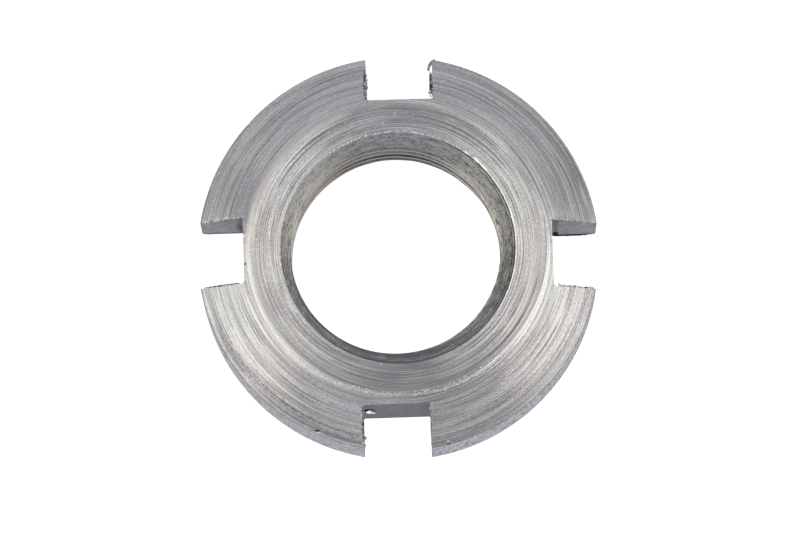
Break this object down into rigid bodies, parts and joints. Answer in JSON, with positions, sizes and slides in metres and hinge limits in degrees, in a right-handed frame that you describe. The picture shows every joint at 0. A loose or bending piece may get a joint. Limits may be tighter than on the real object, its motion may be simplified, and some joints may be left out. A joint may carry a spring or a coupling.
{
  "type": "bearing lock nut",
  "caption": "Round slotted lock nut of turned steel with a fine-threaded bore, a raised seat face, a shallow cone out to the rim and spanner slots cut through the rim.",
  "frame": {"origin": "middle of the flat back face, on the body's axis", "axes": "+Z along the thread, from the flat back face to the raised seat face; +X and +Y each point out through a spanner slot"},
  "size_m": [0.0178, 0.0178, 0.004],
  "materials": {
    "turned_steel": "bare turned steel with fine concentric tool marks, small burrs along the slots and a few rust specks in the bore"
  },
  "bodies": {
    "root": {"lock_nut": "turned_steel"}
  },
  "joints": []
}
